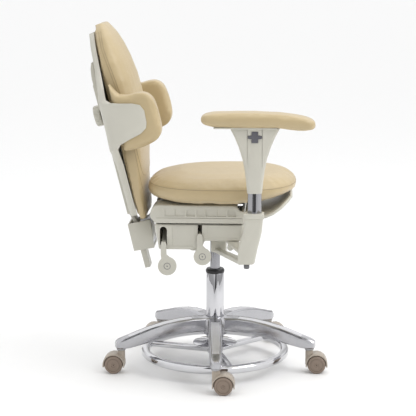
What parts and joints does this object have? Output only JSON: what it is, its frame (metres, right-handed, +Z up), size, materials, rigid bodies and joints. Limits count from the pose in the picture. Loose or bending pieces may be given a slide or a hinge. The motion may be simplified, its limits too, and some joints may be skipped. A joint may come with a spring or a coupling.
{
  "type": "dentist stool",
  "caption": "Wheeled dentist stool with a padded seat, a winged backrest, a height-adjustable armrest, a gas lift, a foot ring and levers under the seat.",
  "frame": {"origin": "on the floor, at the centre of the bounding box seen from above, 11.5 mm behind the column's axis and 21.5 mm to its right", "axes": "+X the way the sitter faces, +Y to the sitter's left, +Z up along the column"},
  "size_m": [0.6497, 0.5463, 0.9572],
  "materials": {
    "polished_aluminium": "polished edges, fine blasted panel on top of each leg",
    "ring_chrome": "bright plated",
    "chrome": "bright plated",
    "steel": "zinc plated, satin",
    "black_plastic": "moulded, satin",
    "dark_grey_plastic": "moulded, matt",
    "grey_plastic": "warm light grey with a fine moulded grain",
    "castor_hood": "taupe, satin",
    "castor_tread": "soft brown taupe tread",
    "leatherette": "beige coated fabric with a fine grain and a soft sheen"
  },
  "bodies": {
    "base": {"star_base": "polished_aluminium", "outer_tube": "chrome", "guide_bush": "black_plastic", "ring_spigot": "steel", "ring_nut": "steel", "ring_spring": "steel", "castor_1_stem": "steel", "castor_2_stem": "steel", "castor_3_stem": "steel", "castor_4_stem": "steel", "castor_5_stem": "steel"},
    "ring": {"foot_ring": "ring_chrome", "ring_bell": "chrome"},
    "spindle": {"piston_rod": "steel", "thrust_bearing": "steel", "rod_clip": "steel"},
    "lift": {"gas_cylinder": "chrome", "chassis_plate": "steel", "lever_shaft": "steel", "mechanism_housing": "grey_plastic", "seat_tray": "grey_plastic", "front_apron": "grey_plastic", "seat_board": "black_plastic", "seat_cushion": "leatherette", "recline_pin": "steel", "arm_bracket": "grey_plastic", "arm_housing": "grey_plastic", "arm_bolt": "chrome"},
    "valve": {"valve_button": "steel"},
    "height_lever_arm": {"height_lever": "grey_plastic"},
    "recline_lever_arm": {"recline_lever": "grey_plastic"},
    "tilt": {"back_bracket": "steel", "bracket_cover": "grey_plastic"},
    "backrest": {"back_bar": "steel", "spine_cover": "grey_plastic", "back_shell": "grey_plastic", "back_cushion": "leatherette", "wing_pad_left": "leatherette", "wing_pad_right": "leatherette"},
    "knob": {"lumbar_knob": "grey_plastic"},
    "arm_post": {"arm_column": "chrome", "arm_rack": "black_plastic"},
    "arm_rest": {"arm_sleeve": "grey_plastic", "pad_plate": "grey_plastic", "arm_pad": "leatherette"},
    "arm_release": {"arm_button": "dark_grey_plastic"},
    "castor_1_fork": {"castor_1_body": "castor_hood"},
    "castor_1_roller": {"castor_1_wheels": "castor_tread"},
    "castor_2_fork": {"castor_2_body": "castor_hood"},
    "castor_2_roller": {"castor_2_wheels": "castor_tread"},
    "castor_3_fork": {"castor_3_body": "castor_hood"},
    "castor_3_roller": {"castor_3_wheels": "castor_tread"},
    "castor_4_fork": {"castor_4_body": "castor_hood"},
    "castor_4_roller": {"castor_4_wheels": "castor_tread"},
    "castor_5_fork": {"castor_5_body": "castor_hood"},
    "castor_5_roller": {"castor_5_wheels": "castor_tread"}
  },
  "joints": [
    {"name": "seat_swivel", "type": "hinge", "parent": "base", "child": "spindle", "pos_m": [0.0115, 0.0215, 0.09], "axis": [0, 0, 1], "continuous": true},
    {"name": "seat_height", "type": "slide", "parent": "spindle", "child": "lift", "axis": [0, 0, 1], "range_m": [-0.03, 0.1]},
    {"name": "valve_press", "type": "slide", "parent": "lift", "child": "valve", "axis": [0, 0, 1], "range_m": [-0.003, 0]},
    {"name": "height_lever_lift", "type": "hinge", "parent": "lift", "child": "height_lever_arm", "pos_m": [-0.0225, -0.0235, 0.412], "axis": [-1, 0, 0], "range_deg": [0, 12], "stiffness_Nm_per_rad": 1, "springref_deg": -11.46},
    {"name": "recline_lever_lift", "type": "hinge", "parent": "lift", "child": "recline_lever_arm", "pos_m": [-0.1195, -0.0235, 0.412], "axis": [-1, 0, 0], "range_deg": [0, 18], "stiffness_Nm_per_rad": 1, "springref_deg": -11.46},
    {"name": "back_recline", "type": "hinge", "parent": "lift", "child": "tilt", "pos_m": [-0.1285, 0.0215, 0.468], "axis": [0, -1, 0], "range_deg": [0, 11]},
    {"name": "back_height", "type": "slide", "parent": "tilt", "child": "backrest", "axis": [-0.2436, 0, 0.9699], "range_m": [0, 0.05]},
    {"name": "lumbar_turn", "type": "hinge", "parent": "backrest", "child": "knob", "pos_m": [-0.299, 0.0215, 0.7018], "axis": [0.9699, 0, 0.2436], "continuous": true},
    {"name": "arm_swivel", "type": "hinge", "parent": "lift", "child": "arm_post", "pos_m": [0.1245, -0.2235, 0.45], "axis": [0, 0, 1], "range_deg": [-30, 30]},
    {"name": "arm_height", "type": "slide", "parent": "arm_post", "child": "arm_rest", "axis": [0, 0, 1], "range_m": [0, 0.082]},
    {"name": "arm_button_press", "type": "slide", "parent": "arm_rest", "child": "arm_release", "axis": [0, 1, 0], "range_m": [0, 0.002], "stiffness_N_per_m": 400, "springref_m": -0.002},
    {"name": "ring_press", "type": "slide", "parent": "base", "child": "ring", "axis": [0, 0, 1], "range_m": [-0.006, 0], "stiffness_N_per_m": 3000, "springref_m": 0.015, "deforming": ["ring_spring"]},
    {"name": "castor_1_swivel", "type": "hinge", "parent": "base", "child": "castor_1_fork", "pos_m": [0.02672, -0.25068, 0.06], "axis": [0, 0, 1], "continuous": true},
    {"name": "castor_1_roll", "type": "hinge", "parent": "castor_1_fork", "child": "castor_1_roller", "pos_m": [0.04672, -0.25068, 0.025], "axis": [0, 1, 0], "continuous": true},
    {"name": "castor_2_swivel", "type": "hinge", "parent": "base", "child": "castor_2_fork", "pos_m": [0.27505, -0.04813, 0.06], "axis": [0, 0, 1], "continuous": true},
    {"name": "castor_2_roll", "type": "hinge", "parent": "castor_2_fork", "child": "castor_2_roller", "pos_m": [0.29505, -0.04813, 0.025], "axis": [0, 1, 0], "continuous": true},
    {"name": "castor_3_swivel", "type": "hinge", "parent": "base", "child": "castor_3_fork", "pos_m": [0.15917, 0.25064, 0.06], "axis": [0, 0, 1], "continuous": true},
    {"name": "castor_3_roll", "type": "hinge", "parent": "castor_3_fork", "child": "castor_3_roller", "pos_m": [0.17917, 0.25064, 0.025], "axis": [0, 1, 0], "continuous": true},
    {"name": "castor_4_swivel", "type": "hinge", "parent": "base", "child": "castor_4_fork", "pos_m": [-0.16079, 0.23275, 0.06], "axis": [0, 0, 1], "continuous": true},
    {"name": "castor_4_roll", "type": "hinge", "parent": "castor_4_fork", "child": "castor_4_roller", "pos_m": [-0.18079, 0.23275, 0.025], "axis": [0, 1, 0], "continuous": true},
    {"name": "castor_5_swivel", "type": "hinge", "parent": "base", "child": "castor_5_fork", "pos_m": [-0.24265, -0.07708, 0.06], "axis": [0, 0, 1], "continuous": true},
    {"name": "castor_5_roll", "type": "hinge", "parent": "castor_5_fork", "child": "castor_5_roller", "pos_m": [-0.26265, -0.07708, 0.025], "axis": [0, 1, 0], "continuous": true}
  ],
  "couplings": [
    {"joint": "valve_press", "follows": "height_lever_lift", "m_per_rad": -0.0143}
  ]
}
